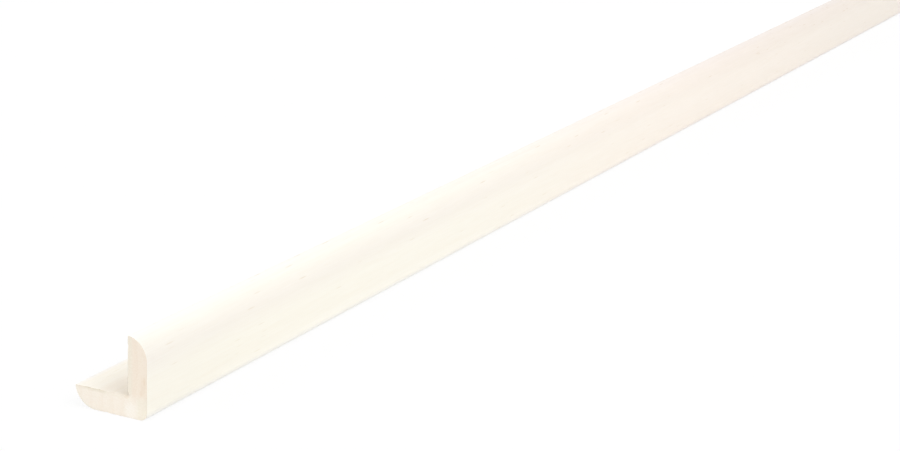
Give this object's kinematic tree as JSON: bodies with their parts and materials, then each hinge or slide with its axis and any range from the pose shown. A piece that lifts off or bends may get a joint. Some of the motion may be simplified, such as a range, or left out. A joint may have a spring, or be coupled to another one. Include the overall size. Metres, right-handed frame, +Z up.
{
  "type": "corner moulding",
  "caption": "Equal-leg corner moulding: two thin legs at a right angle with rounded outer edges, in one length of pale timber, to cover an outside corner.",
  "frame": {"origin": "centre of the box around the stock, at its base: on the floor, halfway along the length and halfway across the flat leg", "axes": "+Y along the stock, away from the end seen in the picture; +Z up the upright leg; +X from the flat leg's tip towards the outer corner"},
  "size_m": [0.02, 2.4, 0.02],
  "materials": {
    "pale_timber": "planed and sanded smooth, pale cream, satin-matt; square sawn ends a little warmer and duller"
  },
  "bodies": {
    "root": {"corner_moulding": "pale_timber"}
  },
  "joints": []
}
